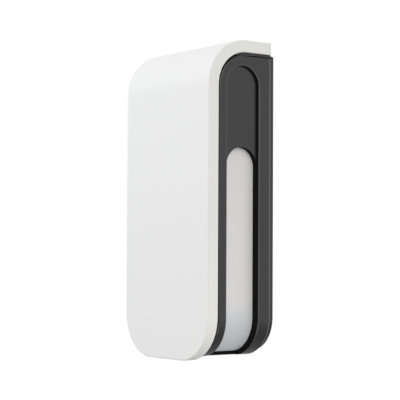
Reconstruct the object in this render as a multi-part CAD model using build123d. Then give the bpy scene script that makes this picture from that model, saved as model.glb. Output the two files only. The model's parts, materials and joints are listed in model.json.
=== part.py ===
from build123d import *
import math
import os

# An outdoor motion detector that hangs on a wall and looks sideways to the left and to the right.
# Millimetres. The origin is on the wall plane, midway between the two wall screws.
# +X is to the right for someone facing the front, +Y points into the wall and +Z is up.
# Pairs are named left and right as that person sees them.

# Overall size
HEIGHT = 200.0
WIDTH = 91.8
DEPTH = 53.4
TOP = HEIGHT / 2
BOTTOM = -HEIGHT / 2
FRONT = -DEPTH
PAST = 5.0  # how far a cutting shape runs past what it cuts
CONTACT = 0.05  # air between curved faces that seat on each other

# Front cover
COVER_HALF = WIDTH / 2
COVER_WALL = 2.2
COVER_SKIRT = 7.6
COVER_ROLL = 29.2
COVER_CORNER = 28.6
COVER_EDGE = 0.8
COVER_LIP = 0.6
COVER_REAR = -4.9
COVER_INSIDE = FRONT + COVER_WALL
COVER_CEILING = TOP - COVER_WALL
COVER_FLOOR = BOTTOM + COVER_WALL
RIB_HEIGHT = 1.0
RIB_WIDTH = 1.2
RIB_LEVELS = (-64.0, -14.0, 68.0)
RIB_REACH = 34.0
SHARP_ANGLE = 30.0
TOUCHING = 0.000001

# Cover hinge: two clips under the cover's top wall snap on two bars of the base
HINGE_Y = -5.5
HINGE_Z = 93.5
HINGE_X = 25.0
BAR_RADIUS = 1.0
BAR_FIT = 0.1
CLIP_WALL = 1.0
CLIP_LENGTH = 10.0
CLIP_MOUTH = 110.0
CLIP_WEB_FRONT = -7.3
CHEEK_GAP = 0.6
CHEEK_WALL = 2.0
CHEEK_RADIUS = 1.9

# Housing
HOUSING_HALF = 44.5
HOUSING_BOTTOM = -97.6
HOUSING_CORNER = 24.4
HOUSING_WALL = 2.2
HOUSING_REAR = -3.8
HOUSING_GAP = 1.5
DECK = FRONT + COVER_SKIRT + HOUSING_GAP
HOUSING_ROLL = COVER_ROLL - COVER_SKIRT - HOUSING_GAP
HOUSING_TOP = TOP - COVER_SKIRT - HOUSING_GAP
HOUSING_EDGE = 0.45
REAR_TAPER = 27.0
REAR_TAPER_LENGTH = 1.1
FLANGE_INSET = 3.9
FLANGE_HEIGHT = 2.5
DECK_INSIDE = DECK + HOUSING_WALL
SEAT_TOP = 90.0
SEAT_FRONT = -27.8
RIM_INSET = 3.0
RIM_WALL = 1.5
RIM_HEIGHT = 2.3
RIM_BREAK = 10.0

# Side recess and the lens window in its floor, the same on both sides
RECESS_Y = -25.85
RECESS_HALF = 12.35
RECESS_ARCH_Z = 71.5
RECESS_DEPTH = HOUSING_WALL
RECESS_EDGE = 0.7
BOSS_MARGIN = 3.4
WINDOW_Y = -25.4
WINDOW_HALF = 11.8
WINDOW_ARCH_Z = 21.4
WINDOW_END = 19.4
LENS_HALF = 38.7
LENS_BOTTOM = -95.4
LENS_CORNER = 22.4
LENS_SHEET = 1.0
LENS_MARGIN = 1.7
LENS_END = 17.0
RETAINER_WALL = 1.6
RETAINER_MARGIN = 3.2
RETAINER_LIP = 1.0
RETAINER_END = 15.5

# Rear base
BASE_INSET = 2.3
BASE_HALF = HOUSING_HALF - BASE_INSET
BASE_BOTTOM = HOUSING_BOTTOM + BASE_INSET
BASE_CORNER = HOUSING_CORNER - BASE_INSET
BASE_PLATE = 2.6
SHELF_TOP = 91.8
SHELF_BOTTOM = 90.9
SHELF_PAD = 90.3
SHELF_HALF = 44.2
SHELF_FRONT = -27.5
SHELF_NOSE_TOP = 90.75
SHELF_NOSE_BOTTOM = 90.2
SHELF_NOSE_LENGTH = 10.0
SHELF_PAD_TOP = 91.0
SHELF_PAD_FRONT = -24.2
DAM_HALF = 43.3
DAM_WALL = 1.2
DAM_TOP = 93.2
DAM_FRONT = -24.0
DAM_NOSE = -31.0
DAM_NOSE_TOP = 92.5
DAM_SINK = 0.1
DAM_REAR = -3.2
HINGE_WINDOW_FRONT = -8.1
SPIGOT_INSET = 2.0
SPIGOT_WALL = 1.6
SPIGOT_FRONT = -7.5
SPIGOT_TOP = 86.8
SEAL_INSET = 0.4
SEAL_WIDTH = 1.5

# Wall screws and cable entry
WALL_SCREW_PITCH = 83.5
WALL_HOLE_RADIUS = 2.25
WALL_BOSS_RADIUS = 5.5
WALL_BOSS_FRONT = -4.1
CABLE_Z = 77.0
CABLE_RADIUS = 3.5
GROMMET_NECK = 6.0
GROMMET_FLANGE = 7.6
GROMMET_RECESS = 1.2
GROMMET_FRONT = -4.4
GROMMET_REAR = -0.2
CABLE_TROUGH_HALF = 4.5
CABLE_TROUGH_DEPTH = 1.2

# Long screws that hold the housing on the base
UNIT_SCREW_Z = (62.0, -80.0)
TUBE_RADIUS = 4.0
TUBE_BORE = 2.0
TUBE_REAR = -8.0
UNIT_SHANK = 1.7
UNIT_THREAD = 1.75
UNIT_TIP = -4.2
UNIT_HEAD = 3.2
UNIT_HEAD_HEIGHT = 2.2
DRIVE_WIDTH = 0.8
DRIVE_DEPTH = 1.0
DRIVE_REACH = 1.2  # length of the cross over the radius of the head

# Lock screw in the cover's bottom wall and the housing lip that its nut clamps
LOCK_Y = -49.0
LOCK_SHANK = 1.25
LOCK_HOLE = 1.35
LOCK_HEAD = 2.25
LOCK_HEAD_HEIGHT = 1.9
LOCK_POCKET = 2.5
LOCK_BOSS_HALF = 5.0
LOCK_BOSS_TOP = -95.6
LOCK_TIP = -86.0
RING_RADIUS = 2.1
RING_THICK = 0.6
LIP_BOTTOM = -93.5
LIP_TOP = -91.5
LIP_HALF = 6.0
LIP_FRONT = -50.6
LIP_SLOT = 1.5
NUT_HALF_X = 3.2
NUT_HALF_Y = 2.1
NUT_HEIGHT = 2.2
NUT_GAP = 0.1
GUIDE_WALL = 1.2
GUIDE_HEIGHT = 4.6
GUIDE_REAR = -47.2

# Main board, just behind the deck
BOARD_HALF = 30.0
BOARD_BOTTOM = -58.0
BOARD_TOP = 54.0
BOARD_FRONT = -41.2
BOARD_THICK = 1.6
BOARD_REAR = BOARD_FRONT + BOARD_THICK
BOARD_SCREW_X = 27.0
BOARD_SCREW_Z = (50.0, -54.0)
SMALL_SHANK = 1.2
SMALL_HOLE = 1.25
SMALL_HEAD = 2.3
SMALL_HEAD_HEIGHT = 1.6
SMALL_TIP = -43.4
STANDOFF_RADIUS = 2.6

# Terminals
POLES = 9
POLE_PITCH = 5.0
TERMINAL_Z = 44.0
TERMINAL_HALF_Z = 5.2
TERMINAL_FRONT = -49.4
TERMINAL_SCREW_Z = TERMINAL_Z - 1.0
TERMINAL_SLOPE = 2.0
TERMINAL_HEAD = 1.7
TERMINAL_WELL = 1.85
TERMINAL_WELL_DEPTH = 2.6
TERMINAL_HEAD_HEIGHT = 1.4
WIRE_RADIUS = 1.4
WIRE_DEPTH = 6.0
WIRE_Y = -44.0

# Function switches
DIP_COUNT = 6
DIP_PITCH = 2.54
DIP_Z = 20.0
DIP_HALF_X = 8.6
DIP_HALF_Z = 4.2
DIP_FRONT = -46.0
DIP_SLOT_HALF_X = 0.75
DIP_SLOT_HALF_Z = 1.9
DIP_SLOT_DEPTH = 1.6
DIP_TRAVEL = 1.8
SLIDER_HALF_X = 0.6
SLIDER_HALF_Z = 0.85
SLIDER_PROUD = 0.8
SLIDERS_UP = (2, 5)

# Range selectors
RANGE_X = 18.0
RANGE_Z = -6.0
RANGE_HALF = 5.0
RANGE_FRONT = -45.7
DIAL_WELL = 3.8
DIAL_WELL_DEPTH = 1.2
DIAL_RADIUS = 3.72
DIAL_PROUD = 1.3
DIAL_SLOT = 1.0
DIAL_SLOT_DEPTH = 1.2

# Tamper switch
TAMPER_Z = -32.0
TAMPER_HALF = 3.5
TAMPER_FRONT = -45.0
PLUNGER_RADIUS = 1.6
PLUNGER_FIT = 0.08
PLUNGER_BACK = -43.4
PLUNGER_TIP = -47.6
PLUNGER_WELL = -42.6
POST_RADIUS = 2.2

# Openings in the deck
DECK_GAP = 0.6
WIRING_NEAR = 8.0
WIRING_FAR = 24.0  # the terminal window ends here too
WIRING_BOTTOM = 56.0
WIRING_TOP = 68.0

# Sensors
CARRIER_HALF = 1.2
CARRIER_BOTTOM = -48.0
CARRIER_TOP = 28.0
CARRIER_REAR = -14.0
BAFFLE_HALF = 28.0
BAFFLE_WALL = 1.2
BAFFLE_FRONT = -38.4
EAR_HALF = 5.0
EAR_LENGTH = 9.0
EAR_THICK = 2.0
EAR_SCREW_SHIFT = 5.0
SENSOR_BOARD = 1.2
SENSOR_FRONT = -37.0
SENSOR_REAR = -15.0
SENSOR_BOTTOM = -45.0
SENSOR_TOP = 25.0
PYRO_Z = (10.0, -28.0)
PYRO_RADIUS = 4.6
PYRO_HEIGHT = 4.4
PYRO_BRIM = 5.0
PYRO_BRIM_HEIGHT = 0.6
FILTER_HALF_Y = 2.1
FILTER_HALF_Z = 1.6
FILTER_THICK = 0.4
HEADER_BOTTOM = -14.0
HEADER_TOP = -4.0
HEADER_WIDTH = 2.5
HEADER_REAR = -33.6
LED_Z = -39.0
LED_RADIUS = 1.5
LED_LENGTH = 2.2

# Other parts on the main board
RELAY_X = 17.0
RELAY_Z = 47.0
RELAY_HALF_X = 6.0
RELAY_HALF_Z = 4.0
RELAY_DEPTH = 8.0
CHIP_X = 15.0
CHIP_Z = -20.0
CHIP_HALF = 5.0
CHIP_DEPTH = 1.2
CAPACITOR_X = 22.0
CAPACITOR_Z = (21.0, 13.0)
CAPACITOR_RADIUS = 2.5
CAPACITOR_DEPTH = 3.6


# Basic shapes

def block(x0, x1, y0, y1, z0, z1):
    """A box between two corners."""
    middle = Pos((x0 + x1) / 2, (y0 + y1) / 2, (z0 + z1) / 2)
    return middle * Box(abs(x1 - x0), abs(y1 - y0), abs(z1 - z0))


def rod_x(radius, x0, x1, y, z):
    return Pos((x0 + x1) / 2, y, z) * Rot(0, 90, 0) * Cylinder(radius, abs(x1 - x0))


def rod_y(radius, y0, y1, x, z):
    return Pos(x, (y0 + y1) / 2, z) * Rot(90, 0, 0) * Cylinder(radius, abs(y1 - y0))


def rod_z(radius, z0, z1, x, y):
    return Pos(x, y, (z0 + z1) / 2) * Cylinder(radius, abs(z1 - z0))


def along_x(face, x0, x1):
    """A face drawn in Y and Z, made solid from x0 to x1."""
    return extrude(Plane.YZ.offset(x0) * face, x1 - x0)


def along_y(face, y0, y1):
    """A face drawn in X and Z, made solid from y0 to y1."""
    return extrude(Plane.XZ.offset(-y1) * face, y1 - y0)


def other_side(solid):
    return mirror(solid, about=Plane.YZ)


def point_on(centre, radius, degrees):
    angle = math.radians(degrees)
    return (centre[0] + radius * math.cos(angle), centre[1] + radius * math.sin(angle))


# Outlines that several pieces share

def side_outline(front, top, roll, rear, bottom):
    """Seen from the side: flat front, quarter roll, flat top."""
    centre = (front + roll, top - roll)
    edges = [
        Polyline((front, top - roll), (front, bottom), (rear, bottom), (rear, top), (front + roll, top)),
        ThreePointArc((front + roll, top), point_on(centre, roll, 135), (front, top - roll)),
    ]
    return make_face(edges)


def front_outline(half, bottom, corner, top):
    """Seen from the front: square top, rounded lower corners."""
    right = (half - corner, bottom + corner)
    left = (corner - half, bottom + corner)
    edges = [
        Polyline((half, bottom + corner), (half, top), (-half, top), (-half, bottom + corner)),
        ThreePointArc((-half, bottom + corner), point_on(left, corner, 225), (corner - half, bottom)),
        Line((corner - half, bottom), (half - corner, bottom)),
        ThreePointArc((half - corner, bottom), point_on(right, corner, 315), (half, bottom + corner)),
    ]
    return make_face(edges)


def arch_outline(middle, half, arch_z, bottom):
    """Seen from the side: an upright slot with a round top."""
    front, rear = middle - half, middle + half
    edges = [
        Polyline((front, arch_z), (front, bottom), (rear, bottom), (rear, arch_z)),
        ThreePointArc((rear, arch_z), (middle, arch_z + half), (front, arch_z)),
    ]
    return make_face(edges)


def window_arch(margin):
    """The lens window's outline, or one that is larger all round by a margin."""
    return arch_outline(WINDOW_Y, WINDOW_HALF + margin, WINDOW_ARCH_Z, BOTTOM - PAST)


def housing_outline(inset):
    """The housing seen from the front, drawn in by an inset."""
    return front_outline(HOUSING_HALF - inset, HOUSING_BOTTOM + inset, HOUSING_CORNER - inset, TOP)


def base_outline(inset, top):
    """The base seen from the front, drawn in by an inset."""
    return front_outline(BASE_HALF - inset, BASE_BOTTOM + inset, BASE_CORNER - inset, top)


def rolled_body(half, front, top, roll, rear, bottom, corner):
    """The form that the cover and the housing share: rolled at the top, round at the lower corners."""
    sideways = extrude(Plane.YZ * side_outline(front, top, roll, rear, bottom), half, both=True)
    return sideways & along_y(front_outline(half, bottom, corner, top), front, rear)


def band(inset_out, inset_in, y0, y1):
    """A strip that follows the lens surface, between two depths below it."""
    outer = front_outline(LENS_HALF - inset_out, LENS_BOTTOM + inset_out, LENS_CORNER - inset_out, TOP)
    inner = front_outline(LENS_HALF - inset_in, LENS_BOTTOM + inset_in, LENS_CORNER - inset_in, TOP + PAST)
    return along_y(outer, y0, y1) - along_y(inner, y0 - PAST, y1 + PAST)


def sharp_edges(solid):
    """Edges where two faces meet at a real corner, not the seams of a smooth run."""
    kept = []
    for edge in solid.edges():
        middle = edge @ 0.5
        normals = [f.normal_at(middle) for f in solid.faces() if f.distance_to(middle) < TOUCHING]
        if len(normals) == 2 and normals[0].get_angle(normals[1]) > SHARP_ANGLE:
            kept.append(edge)
    return kept


def cross_recess(radius):
    """The cross of a screwdriver recess, along Z, with its mouth at the origin."""
    reach = radius * DRIVE_REACH
    one = block(-reach / 2, reach / 2, -DRIVE_WIDTH / 2, DRIVE_WIDTH / 2, -DRIVE_DEPTH, PAST)
    return one + Rot(0, 0, 90) * one


# The cover and its lock

def cover_shell():
    """Flat front, rolled top and a skirt of one depth all round, hollow inside."""
    whole = rolled_body(COVER_HALF, FRONT, TOP, COVER_ROLL, COVER_REAR, BOTTOM, COVER_CORNER)
    in_front = COVER_REAR - COVER_EDGE
    on_top = TOP - COVER_EDGE
    outside = [e for e in sharp_edges(whole) if e.center().Y < in_front or e.center().Z > on_top]
    behind = extrude(
        Plane.YZ * side_outline(
            FRONT + COVER_SKIRT, TOP - COVER_SKIRT, COVER_ROLL - COVER_SKIRT, PAST, BOTTOM - PAST
        ),
        WIDTH, both=True,
    )
    thick = fillet(outside, COVER_EDGE) - behind
    lip = [e for e in sharp_edges(thick) if e.center().Y < in_front]
    hollow = rolled_body(
        COVER_HALF - COVER_WALL, COVER_INSIDE, COVER_CEILING, COVER_ROLL - COVER_WALL,
        PAST, COVER_FLOOR, COVER_CORNER - COVER_WALL,
    )
    return fillet(lip, COVER_LIP) - hollow


def hinge_clip(x):
    """A ring under the top wall with its mouth facing down, wide enough to snap over a hinge bar."""
    x0, x1 = x - CLIP_LENGTH / 2, x + CLIP_LENGTH / 2
    bore = BAR_RADIUS + BAR_FIT
    outer = bore + CLIP_WALL
    ring = rod_x(outer, x0, x1, HINGE_Y, HINGE_Z) - rod_x(bore, x0 - PAST, x1 + PAST, HINGE_Y, HINGE_Z)
    centre = (HINGE_Y, HINGE_Z)
    mouth = make_face(
        Polyline(
            centre,
            point_on(centre, PAST, 270 - CLIP_MOUTH / 2),
            point_on(centre, PAST, 270 + CLIP_MOUTH / 2),
            centre,
        )
    )
    web = block(x0, x1, CLIP_WEB_FRONT, COVER_REAR, HINGE_Z, COVER_CEILING)
    web -= rod_x(bore, x0 - PAST, x1 + PAST, HINGE_Y, HINGE_Z)
    web -= block(x0, x1, HINGE_Y - PAST, HINGE_Y + PAST, HINGE_Z - PAST, HINGE_Z + BAR_RADIUS)
    return ring - along_x(mouth, x0 - PAST, x1 + PAST) + web


def lock_boss():
    """Boss for the lock screw on the cover's bottom wall, and two ribs that keep its nut from turning."""
    boss = block(
        -LOCK_BOSS_HALF, LOCK_BOSS_HALF, COVER_INSIDE, FRONT + COVER_SKIRT, COVER_FLOOR, LOCK_BOSS_TOP
    )
    guide_x = NUT_HALF_X + 2 * CONTACT
    guide_bottom = LIP_TOP + 2 * NUT_GAP
    guide = block(
        guide_x, guide_x + GUIDE_WALL, COVER_INSIDE, GUIDE_REAR, guide_bottom, guide_bottom + GUIDE_HEIGHT
    )
    return boss + guide + other_side(guide)


def cover_ribs():
    """Low stiffening ribs across the inside of the front wall."""
    ribs = [
        block(-RIB_REACH, RIB_REACH, COVER_INSIDE, COVER_INSIDE + RIB_HEIGHT, z, z + RIB_WIDTH)
        for z in RIB_LEVELS
    ]
    return Part() + ribs


def front_cover():
    cover = cover_shell() + cover_ribs() + lock_boss()
    cover += hinge_clip(HINGE_X)
    cover += hinge_clip(-HINGE_X)
    cover += rod_y(POST_RADIUS, COVER_INSIDE, PLUNGER_TIP - 2 * CONTACT, 0, TAMPER_Z)
    cover -= rod_z(LOCK_POCKET, BOTTOM - PAST, COVER_FLOOR, 0, LOCK_Y)
    cover -= rod_z(LOCK_HOLE, BOTTOM, LOCK_BOSS_TOP + PAST, 0, LOCK_Y)
    return cover


def cover_lock_screw():
    head_top = COVER_FLOOR - CONTACT
    head_bottom = head_top - LOCK_HEAD_HEIGHT
    screw = rod_z(LOCK_HEAD, head_bottom, head_top, 0, LOCK_Y)
    screw += rod_z(LOCK_SHANK, head_top, LOCK_TIP, 0, LOCK_Y)
    return screw - Pos(0, LOCK_Y, head_bottom) * Rot(180, 0, 0) * cross_recess(LOCK_HEAD)


def lock_screw_ring():
    bottom = LOCK_BOSS_TOP + CONTACT
    ring = rod_z(RING_RADIUS, bottom, bottom + RING_THICK, 0, LOCK_Y)
    return ring - rod_z(LOCK_SHANK + CONTACT, bottom - PAST, bottom + PAST, 0, LOCK_Y)


def lock_nut():
    bottom = LIP_TOP + NUT_GAP
    nut = block(
        -NUT_HALF_X, NUT_HALF_X, LOCK_Y - NUT_HALF_Y, LOCK_Y + NUT_HALF_Y, bottom, bottom + NUT_HEIGHT
    )
    return nut - rod_z(LOCK_SHANK + CONTACT, bottom - PAST, bottom + PAST, 0, LOCK_Y)


# The housing

def lens_boss():
    """Thickening behind the right recess, from its floor in to the lens surface."""
    floor = along_y(housing_outline(RECESS_DEPTH), DECK_INSIDE, HOUSING_REAR)
    lens = front_outline(LENS_HALF, LENS_BOTTOM, LENS_CORNER, TOP + PAST)
    core = along_y(lens, DECK_INSIDE - PAST, HOUSING_REAR + PAST)
    arch = arch_outline(RECESS_Y, RECESS_HALF + BOSS_MARGIN, RECESS_ARCH_Z, BOTTOM - PAST)
    return (floor - core) & along_x(arch, RETAINER_END, COVER_HALF)


def side_recess():
    """Arched recess of one depth in the right wall, which wraps the lower corner."""
    arch = arch_outline(RECESS_Y, RECESS_HALF, RECESS_ARCH_Z, BOTTOM - PAST)
    inside = along_y(housing_outline(RECESS_DEPTH), DECK - PAST, PAST)
    return along_x(arch, WINDOW_END, COVER_HALF + PAST) - inside


def lens_window():
    """Opening through the recess's floor, where the lens shows."""
    return along_x(window_arch(0), WINDOW_END, COVER_HALF + PAST)


def recess_mouth(solid):
    """Edges where the side recesses meet the housing's outer face."""
    below = along_y(housing_outline(RECESS_EDGE), DECK - PAST, PAST)
    kept = []
    for edge in sharp_edges(solid):
        middle = edge @ 0.5
        across = abs(middle.Y - RECESS_Y) < RECESS_HALF + RECESS_EDGE
        sideways = abs(middle.X) > WINDOW_END - RECESS_EDGE
        if across and sideways and not below.is_inside(middle):
            kept.append(edge)
    return kept


def rim_form(inset, height):
    """The housing's rolled form, drawn in at its sides and raised in front."""
    return rolled_body(
        HOUSING_HALF - inset, DECK - height, HOUSING_TOP + height, HOUSING_ROLL + height,
        HOUSING_REAR, HOUSING_BOTTOM + inset, HOUSING_CORNER - inset,
    )


def deck_rim():
    """Low wall along the bottom of the deck, up both sides and over the roll, inside the cover's skirt."""
    rim = rim_form(RIM_INSET, RIM_HEIGHT) - rim_form(RIM_INSET + RIM_WALL, RIM_HEIGHT + PAST) - rim_form(0, 0)
    rim -= block(-WIDTH, WIDTH, SEAT_FRONT, PAST, BOTTOM, TOP)
    return rim - block(-RIM_BREAK, RIM_BREAK, DECK - PAST, DECK, BOTTOM, LIP_TOP)


def rear_flange():
    """Inward flange at the housing's rear edge, which seats on the seal."""
    flange = along_y(housing_outline(HOUSING_WALL / 2), HOUSING_REAR - FLANGE_HEIGHT, HOUSING_REAR)
    flange -= along_y(housing_outline(FLANGE_INSET), DECK, PAST)
    return flange - block(-WIDTH, WIDTH, DECK, PAST, SPIGOT_TOP, TOP + PAST)


def deck_windows():
    """Openings in the deck for the parts on the board and for the wires."""
    y0, y1 = DECK - PAST, DECK_INSIDE + PAST
    terminal = TERMINAL_HALF_Z + DECK_GAP
    dip_x, dip_z = DIP_HALF_X + DECK_GAP, DIP_HALF_Z + DECK_GAP
    tamper = TAMPER_HALF + DECK_GAP
    dial = RANGE_HALF + DECK_GAP
    cuts = [
        block(-WIRING_FAR, WIRING_FAR, y0, y1, TERMINAL_Z - terminal, TERMINAL_Z + terminal),
        block(-dip_x, dip_x, y0, y1, DIP_Z - dip_z, DIP_Z + dip_z),
        block(-tamper, tamper, y0, y1, TAMPER_Z - tamper, TAMPER_Z + tamper),
    ]
    for side in (-1, 1):
        x = side * RANGE_X
        cuts.append(block(x - dial, x + dial, y0, y1, RANGE_Z - dial, RANGE_Z + dial))
        cuts.append(block(side * WIRING_NEAR, side * WIRING_FAR, y0, y1, WIRING_BOTTOM, WIRING_TOP))
    return Part() + cuts


def board_corners():
    """Where the board's own screws are."""
    return [(side * BOARD_SCREW_X, z) for side in (-1, 1) for z in BOARD_SCREW_Z]


def carrier_ears():
    """Where the sensor carrier's screws are."""
    return [(0, CARRIER_TOP + EAR_SCREW_SHIFT), (0, CARRIER_BOTTOM - EAR_SCREW_SHIFT)]


def lock_lip():
    """Forked lip on the deck: its slot is open to the front, so the screw leaves it as the cover swings."""
    lip = block(-LIP_HALF, LIP_HALF, LIP_FRONT, DECK, LIP_BOTTOM, LIP_TOP)
    lip -= block(-LIP_SLOT, LIP_SLOT, LIP_FRONT - PAST, LOCK_Y, LIP_BOTTOM - PAST, LIP_TOP + PAST)
    return lip - rod_z(LIP_SLOT, LIP_BOTTOM - PAST, LIP_TOP + PAST, 0, LOCK_Y)


def housing_blank():
    """The housing's outer form: its front edges are chamfered and its rear edge draws in."""
    blank = rolled_body(
        HOUSING_HALF, DECK, HOUSING_TOP, HOUSING_ROLL, HOUSING_REAR, HOUSING_BOTTOM, HOUSING_CORNER
    )
    front_edges = [e for e in sharp_edges(blank) if e.center().Y < HOUSING_REAR - REAR_TAPER_LENGTH]
    blank = chamfer(front_edges, HOUSING_EDGE)
    taper_from = HOUSING_REAR - REAR_TAPER_LENGTH
    backwards = Plane((0, taper_from, 0), x_dir=(-1, 0, 0), z_dir=(0, 1, 0))
    drawn_in = along_y(housing_outline(0), DECK, taper_from)
    drawn_in += extrude(backwards * housing_outline(0), REAR_TAPER_LENGTH, taper=REAR_TAPER)
    return blank & drawn_in


def main_housing():
    recess = side_recess()
    housing = housing_blank() - recess - other_side(recess)
    housing = fillet(recess_mouth(housing), RECESS_EDGE)
    housing -= block(-WIDTH, WIDTH, SEAT_FRONT, PAST, SEAT_TOP, TOP)
    housing -= rolled_body(
        HOUSING_HALF - HOUSING_WALL, DECK_INSIDE, SEAT_TOP - HOUSING_WALL, HOUSING_ROLL - HOUSING_WALL,
        PAST, HOUSING_BOTTOM + HOUSING_WALL, HOUSING_CORNER - HOUSING_WALL,
    )
    boss = lens_boss() - lens_window()
    housing += boss
    housing += other_side(boss)
    housing += rear_flange()
    housing += deck_rim()
    housing += lock_lip()
    housing -= deck_windows()
    for z in UNIT_SCREW_Z:
        housing += rod_y(TUBE_RADIUS, DECK_INSIDE, TUBE_REAR, 0, z)
        housing -= rod_y(TUBE_BORE, DECK - PAST, TUBE_REAR + PAST, 0, z)
    for x, z in board_corners() + carrier_ears():
        housing += rod_y(STANDOFF_RADIUS, DECK_INSIDE, BOARD_FRONT, x, z)
        housing -= rod_y(SMALL_HOLE, SMALL_TIP - CONTACT, BOARD_FRONT + PAST, x, z)
    return housing


def lens_right():
    sheet = band(CONTACT, CONTACT + LENS_SHEET, DECK, HOUSING_REAR)
    return sheet & along_x(window_arch(LENS_MARGIN), LENS_END, COVER_HALF)


def lens_retainer_right():
    """Frame behind the lens: a step takes the sheet, and the rim outside the step seats on the boss."""
    step = 2 * CONTACT + LENS_SHEET
    blank = along_x(window_arch(RETAINER_MARGIN), RETAINER_END, COVER_HALF)
    frame = band(CONTACT, step + RETAINER_WALL, DECK, HOUSING_REAR) & blank
    pocket = along_x(window_arch(LENS_MARGIN + CONTACT), LENS_END - CONTACT, COVER_HALF)
    frame -= band(-PAST, step, DECK - PAST, HOUSING_REAR + PAST) & pocket
    return frame - along_x(window_arch(-RETAINER_LIP), WINDOW_END, COVER_HALF)


# The base and what sits on it

def hinge_lug(x):
    """A hinge bar between two cheeks."""
    inner = CLIP_LENGTH / 2 + CHEEK_GAP
    outer = inner + CHEEK_WALL
    lug = rod_x(BAR_RADIUS, x - outer, x + outer, HINGE_Y, HINGE_Z)
    for x0, x1 in ((x - outer, x - inner), (x + inner, x + outer)):
        lug += rod_x(CHEEK_RADIUS, x0, x1, HINGE_Y, HINGE_Z)
        lug += block(x0, x1, HINGE_Y - CHEEK_RADIUS, HINGE_Y + CHEEK_RADIUS, SHELF_PAD, HINGE_Z)
    return lug


def rain_dam():
    """Upturned edge on the shelf's right side, which stands inside the cover's skirt."""
    side = make_face(
        Polyline(
            (DAM_NOSE, SHELF_NOSE_BOTTOM),
            (DAM_NOSE, DAM_NOSE_TOP),
            (DAM_FRONT, DAM_TOP),
            (DAM_REAR, DAM_TOP),
            (DAM_REAR, SHELF_BOTTOM),
            (DAM_FRONT, SHELF_BOTTOM),
            (SHELF_FRONT, SHELF_NOSE_TOP - DAM_SINK),
            (DAM_NOSE, SHELF_NOSE_BOTTOM),
        )
    )
    return along_x(side, DAM_HALF - DAM_WALL, DAM_HALF)


def top_shelf():
    """Shelf over the housing's top: a thin rim on a thicker pad, with a window under each hinge bar."""
    flat_from = SHELF_FRONT + SHELF_NOSE_LENGTH
    rim = make_face(
        Polyline(
            (SHELF_FRONT, SHELF_NOSE_BOTTOM),
            (SHELF_FRONT, SHELF_NOSE_TOP),
            (flat_from, SHELF_TOP),
            (-BASE_PLATE, SHELF_TOP),
            (-BASE_PLATE, SHELF_BOTTOM),
            (flat_from, SHELF_BOTTOM),
            (SHELF_FRONT, SHELF_NOSE_BOTTOM),
        )
    )
    shelf = along_x(rim, -SHELF_HALF, SHELF_HALF)
    shelf += block(-BASE_HALF, BASE_HALF, SHELF_PAD_FRONT, 0, SHELF_PAD, SHELF_PAD_TOP)
    shelf += rain_dam()
    shelf += other_side(rain_dam())
    half = CLIP_LENGTH / 2 + CHEEK_GAP
    below, above = SHELF_PAD - PAST, SHELF_TOP + PAST
    for x in (-HINGE_X, HINGE_X):
        shelf -= block(x - half, x + half, HINGE_WINDOW_FRONT, -BASE_PLATE, below, above)
        shelf += hinge_lug(x)
    return shelf


def spigot():
    """Upright wall just inside the housing, which locates it on the base."""
    wall = along_y(base_outline(SPIGOT_INSET, SPIGOT_TOP), SPIGOT_FRONT, -BASE_PLATE)
    inner = base_outline(SPIGOT_INSET + SPIGOT_WALL, SPIGOT_TOP - SPIGOT_WALL)
    return wall - along_y(inner, SPIGOT_FRONT - PAST, PAST)


def rear_base():
    base = along_y(base_outline(0, SHELF_TOP), -BASE_PLATE, 0)
    base += top_shelf()
    base += spigot()
    for z in UNIT_SCREW_Z:
        base += rod_y(TUBE_RADIUS, TUBE_REAR + CONTACT, -BASE_PLATE, 0, z)
        base -= rod_y(UNIT_THREAD, TUBE_REAR - PAST, UNIT_TIP + CONTACT, 0, z)
    for z in (-WALL_SCREW_PITCH / 2, WALL_SCREW_PITCH / 2):
        base += rod_y(WALL_BOSS_RADIUS, WALL_BOSS_FRONT, -BASE_PLATE, 0, z)
        base -= rod_y(WALL_HOLE_RADIUS, WALL_BOSS_FRONT - PAST, PAST, 0, z)
    base -= rod_y(GROMMET_NECK, -BASE_PLATE - PAST, PAST, 0, CABLE_Z)
    base -= rod_y(GROMMET_FLANGE + CONTACT, -GROMMET_RECESS, PAST, 0, CABLE_Z)
    base -= block(-CABLE_TROUGH_HALF, CABLE_TROUGH_HALF, -CABLE_TROUGH_DEPTH, PAST, CABLE_Z, TOP)
    return base


def cable_grommet():
    """Rubber bush, grooved round the edge of the base's hole, with a tapered nose inside."""
    neck_front = -BASE_PLATE - CONTACT
    neck_rear = -GROMMET_RECESS + CONTACT
    section = make_face(
        Polyline(
            (CABLE_RADIUS, GROMMET_REAR),
            (GROMMET_FLANGE, GROMMET_REAR),
            (GROMMET_FLANGE, neck_rear),
            (GROMMET_NECK - CONTACT, neck_rear),
            (GROMMET_NECK - CONTACT, neck_front),
            (GROMMET_FLANGE, neck_front),
            (GROMMET_NECK, GROMMET_FRONT),
            (CABLE_RADIUS, GROMMET_FRONT),
            (CABLE_RADIUS, GROMMET_REAR),
        )
    )
    return Pos(0, 0, CABLE_Z) * revolve(section, Axis.Y)


def housing_seal():
    outer = base_outline(SEAL_INSET, SPIGOT_TOP + SEAL_WIDTH + CONTACT)
    inner = base_outline(SEAL_INSET + SEAL_WIDTH, SPIGOT_TOP + CONTACT)
    ring = along_y(outer, HOUSING_REAR, -BASE_PLATE)
    return ring - along_y(inner, HOUSING_REAR - PAST, -BASE_PLATE + PAST)


def unit_screws():
    """Two long screws through the housing's tubes into the base."""
    screws = []
    for z in UNIT_SCREW_Z:
        head = rod_y(UNIT_HEAD, DECK - UNIT_HEAD_HEIGHT, DECK, 0, z)
        shank = rod_y(UNIT_SHANK, DECK, UNIT_TIP, 0, z)
        recess = Pos(0, DECK - UNIT_HEAD_HEIGHT, z) * Rot(90, 0, 0) * cross_recess(UNIT_HEAD)
        screws.append(head + shank - recess)
    return Compound(children=screws)


# The main board and what is on it

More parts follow.
